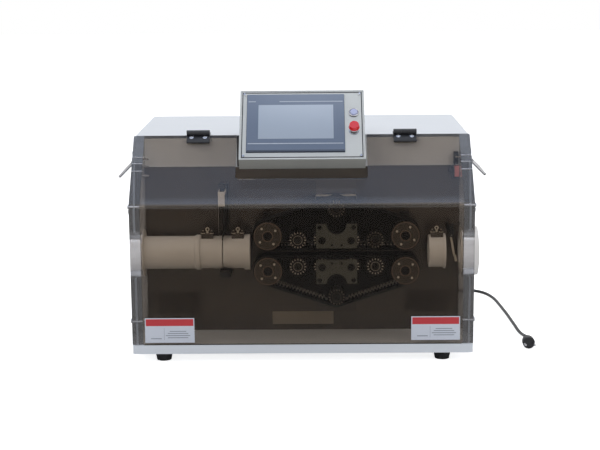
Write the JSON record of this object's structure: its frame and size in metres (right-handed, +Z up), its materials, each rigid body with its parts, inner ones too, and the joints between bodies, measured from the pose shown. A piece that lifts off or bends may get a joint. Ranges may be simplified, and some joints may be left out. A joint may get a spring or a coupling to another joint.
{
  "type": "tube cutting machine",
  "caption": "Bench machine that grips plastic tube between two driven toothed belts and cuts it to length under a tinted swing-up hood, with a tilted touch display on a steel cabinet.",
  "frame": {"origin": "middle of the machine's footprint on the surface that it stands on, without the power cord", "axes": "+X to the operator's right, along the tube; +Y to the back; +Z up"},
  "size_m": [0.8807, 0.6215, 0.5477],
  "materials": {
    "white_enamel": "powder coat",
    "foot_rubber": "matt",
    "dark_enamel": "satin",
    "black_nylon": "satin",
    "stainless": "brushed",
    "panel_grey": "satin",
    "white_nylon": "turned",
    "motor_black": "satin",
    "ground_steel": "ground",
    "bright_steel": "polished",
    "zinc_case": "satin",
    "board_green": "satin",
    "tinted_acrylic": "clear",
    "clear_acrylic": "clear",
    "aluminium_plate": "milled",
    "belt_rubber": "matt",
    "button_blue": "gloss",
    "button_red": "gloss",
    "cord_pvc": "satin"
  },
  "bodies": {
    "root": {"base_tray": "white_enamel", "rubber_feet": "foot_rubber", "cabinet_cover": "white_enamel", "rear_panel": "white_enamel", "bulkhead": "dark_enamel", "hinge_fixed_leaves": "black_nylon", "display_box": "stainless", "touch_panel": "panel_grey", "tube_guides": "white_nylon", "guide_clamps": "dark_enamel", "blade_guide": "stainless", "cutter_actuator": "motor_black", "guide_rods": "ground_steel", "centring_motor": "motor_black", "sensor_block": "black_nylon", "interlock_switch": "black_nylon", "cabinet_hardware": "bright_steel", "power_supply": "zinc_case", "control_board": "board_green", "power_entry": "black_nylon", "power_cord": "cord_pvc", "cord_coil": "cord_pvc", "mains_plug": "cord_pvc"},
    "hood": {"hood_sheet": "tinted_acrylic", "hood_side_left": "clear_acrylic", "hood_side_right": "clear_acrylic", "hood_screws": "bright_steel", "hinge_hood_leaves": "black_nylon", "outlet_tube": "white_nylon", "inlet_flange": "white_nylon"},
    "upper_carriage": {"upper_frame": "dark_enamel", "upper_front_plate": "aluminium_plate", "upper_belt": "belt_rubber", "upper_motor": "motor_black"},
    "lower_carriage": {"lower_frame": "dark_enamel", "lower_front_plate": "aluminium_plate", "lower_belt": "belt_rubber", "lower_motor": "motor_black"},
    "upper_drive_pulley_body": {"upper_drive_pulley": "aluminium_plate"},
    "upper_end_pulley_left_body": {"upper_end_pulley_left": "aluminium_plate"},
    "upper_end_pulley_right_body": {"upper_end_pulley_right": "aluminium_plate"},
    "upper_idler_left_body": {"upper_idler_left": "aluminium_plate"},
    "upper_idler_right_body": {"upper_idler_right": "aluminium_plate"},
    "upper_inner_idler_left_body": {"upper_inner_idler_left": "aluminium_plate"},
    "upper_inner_idler_right_body": {"upper_inner_idler_right": "aluminium_plate"},
    "lower_drive_pulley_body": {"lower_drive_pulley": "aluminium_plate"},
    "lower_end_pulley_left_body": {"lower_end_pulley_left": "aluminium_plate"},
    "lower_end_pulley_right_body": {"lower_end_pulley_right": "aluminium_plate"},
    "lower_idler_left_body": {"lower_idler_left": "aluminium_plate"},
    "lower_idler_right_body": {"lower_idler_right": "aluminium_plate"},
    "lower_inner_idler_left_body": {"lower_inner_idler_left": "aluminium_plate"},
    "lower_inner_idler_right_body": {"lower_inner_idler_right": "aluminium_plate"},
    "lead_screw_body": {"lead_screw": "ground_steel"},
    "cutting_blade_body": {"cutting_blade": "stainless"},
    "sensor_lever_body": {"sensor_lever": "stainless"},
    "start_button_body": {"start_button": "button_blue"},
    "stop_button_body": {"stop_button": "button_red"},
    "carry_handle_left_body": {"carry_handle_left": "bright_steel"},
    "carry_handle_right_body": {"carry_handle_right": "bright_steel"},
    "mains_rocker_body": {"mains_rocker": "button_red"}
  },
  "joints": [
    {"name": "hood_swing", "type": "hinge", "parent": "root", "child": "hood", "pos_m": [0, -0.1325, 0.463], "axis": [-1, 0, 0], "range_deg": [0, 100]},
    {"name": "upper_slide", "type": "slide", "parent": "root", "child": "upper_carriage", "axis": [0, 0, 1], "range_m": [0, 0.025]},
    {"name": "lower_slide", "type": "slide", "parent": "root", "child": "lower_carriage", "axis": [0, 0, -1], "range_m": [0, 0.025]},
    {"name": "screw_turn", "type": "hinge", "parent": "root", "child": "lead_screw_body", "pos_m": [-0.019, -0.0965, 0.2], "axis": [0, 0, 1], "range_deg": [0, 1801]},
    {"name": "upper_drive_pulley_spin", "type": "hinge", "parent": "upper_carriage", "child": "upper_drive_pulley_body", "pos_m": [0.071, -0.1765, 0.3125], "axis": [0, 1, 0], "continuous": true},
    {"name": "upper_end_pulley_left_spin", "type": "hinge", "parent": "upper_carriage", "child": "upper_end_pulley_left_body", "pos_m": [-0.071, -0.1765, 0.2565], "axis": [0, 1, 0], "continuous": true},
    {"name": "upper_end_pulley_right_spin", "type": "hinge", "parent": "upper_carriage", "child": "upper_end_pulley_right_body", "pos_m": [0.213, -0.1765, 0.2565], "axis": [0, 1, 0], "continuous": true},
    {"name": "upper_idler_left_spin", "type": "hinge", "parent": "upper_carriage", "child": "upper_idler_left_body", "pos_m": [-0.009, -0.1765, 0.2475], "axis": [0, 1, 0], "continuous": true},
    {"name": "upper_idler_right_spin", "type": "hinge", "parent": "upper_carriage", "child": "upper_idler_right_body", "pos_m": [0.151, -0.1765, 0.2475], "axis": [0, 1, 0], "continuous": true},
    {"name": "upper_inner_idler_left_spin", "type": "hinge", "parent": "upper_carriage", "child": "upper_inner_idler_left_body", "pos_m": [0.041, -0.1765, 0.2475], "axis": [0, 1, 0], "continuous": true},
    {"name": "upper_inner_idler_right_spin", "type": "hinge", "parent": "upper_carriage", "child": "upper_inner_idler_right_body", "pos_m": [0.101, -0.1765, 0.2475], "axis": [0, 1, 0], "continuous": true},
    {"name": "lower_drive_pulley_spin", "type": "hinge", "parent": "lower_carriage", "child": "lower_drive_pulley_body", "pos_m": [0.071, -0.1765, 0.1265], "axis": [0, 1, 0], "continuous": true},
    {"name": "lower_end_pulley_left_spin", "type": "hinge", "parent": "lower_carriage", "child": "lower_end_pulley_left_body", "pos_m": [-0.071, -0.1765, 0.1825], "axis": [0, 1, 0], "continuous": true},
    {"name": "lower_end_pulley_right_spin", "type": "hinge", "parent": "lower_carriage", "child": "lower_end_pulley_right_body", "pos_m": [0.213, -0.1765, 0.1825], "axis": [0, 1, 0], "continuous": true},
    {"name": "lower_idler_left_spin", "type": "hinge", "parent": "lower_carriage", "child": "lower_idler_left_body", "pos_m": [-0.009, -0.1765, 0.1915], "axis": [0, 1, 0], "continuous": true},
    {"name": "lower_idler_right_spin", "type": "hinge", "parent": "lower_carriage", "child": "lower_idler_right_body", "pos_m": [0.151, -0.1765, 0.1915], "axis": [0, 1, 0], "continuous": true},
    {"name": "lower_inner_idler_left_spin", "type": "hinge", "parent": "lower_carriage", "child": "lower_inner_idler_left_body", "pos_m": [0.041, -0.1765, 0.1915], "axis": [0, 1, 0], "continuous": true},
    {"name": "lower_inner_idler_right_spin", "type": "hinge", "parent": "lower_carriage", "child": "lower_inner_idler_right_body", "pos_m": [0.101, -0.1765, 0.1915], "axis": [0, 1, 0], "continuous": true},
    {"name": "blade_slide", "type": "slide", "parent": "root", "child": "cutting_blade_body", "axis": [0, 0, -1], "range_m": [0, 0.07]},
    {"name": "sensor_swing", "type": "hinge", "parent": "root", "child": "sensor_lever_body", "pos_m": [0.308, -0.1805, 0.2545], "axis": [0, 1, 0], "range_deg": [0, 16], "stiffness_Nm_per_rad": 0.02, "springref_deg": -11.46},
    {"name": "start_press", "type": "slide", "parent": "root", "child": "start_button_body", "axis": [0, 0.7278, -0.6858], "range_m": [0, 0.003], "stiffness_N_per_m": 400, "springref_m": -0.001},
    {"name": "stop_press", "type": "slide", "parent": "root", "child": "stop_button_body", "axis": [0, 0.7278, -0.6858], "range_m": [0, 0.004]},
    {"name": "handle_left_swing", "type": "hinge", "parent": "root", "child": "carry_handle_left_body", "pos_m": [-0.356, -0.0505, 0.397], "axis": [0, 1, 0], "range_deg": [-44, 135]},
    {"name": "handle_right_swing", "type": "hinge", "parent": "root", "child": "carry_handle_right_body", "pos_m": [0.356, -0.0505, 0.397], "axis": [0, -1, 0], "range_deg": [-44, 135]},
    {"name": "rocker_tilt", "type": "hinge", "parent": "root", "child": "mains_rocker_body", "pos_m": [0.22, 0.2265, 0.061], "axis": [-1, 0, 0], "range_deg": [0, 16]}
  ],
  "couplings": [
    {"joint": "lower_slide", "follows": "upper_slide", "ratio": 1},
    {"joint": "screw_turn", "follows": "upper_slide", "rad_per_m": 1256.6},
    {"joint": "upper_end_pulley_left_spin", "follows": "upper_drive_pulley_spin", "ratio": 0.66667},
    {"joint": "upper_end_pulley_right_spin", "follows": "upper_drive_pulley_spin", "ratio": 0.66667},
    {"joint": "upper_idler_left_spin", "follows": "upper_drive_pulley_spin", "ratio": 1},
    {"joint": "upper_idler_right_spin", "follows": "upper_drive_pulley_spin", "ratio": 1},
    {"joint": "upper_inner_idler_left_spin", "follows": "upper_drive_pulley_spin", "ratio": 1},
    {"joint": "upper_inner_idler_right_spin", "follows": "upper_drive_pulley_spin", "ratio": 1},
    {"joint": "lower_drive_pulley_spin", "follows": "upper_drive_pulley_spin", "ratio": -1},
    {"joint": "lower_end_pulley_left_spin", "follows": "upper_drive_pulley_spin", "ratio": -0.66667},
    {"joint": "lower_end_pulley_right_spin", "follows": "upper_drive_pulley_spin", "ratio": -0.66667},
    {"joint": "lower_idler_left_spin", "follows": "upper_drive_pulley_spin", "ratio": -1},
    {"joint": "lower_idler_right_spin", "follows": "upper_drive_pulley_spin", "ratio": -1},
    {"joint": "lower_inner_idler_left_spin", "follows": "upper_drive_pulley_spin", "ratio": -1},
    {"joint": "lower_inner_idler_right_spin", "follows": "upper_drive_pulley_spin", "ratio": -1}
  ]
}
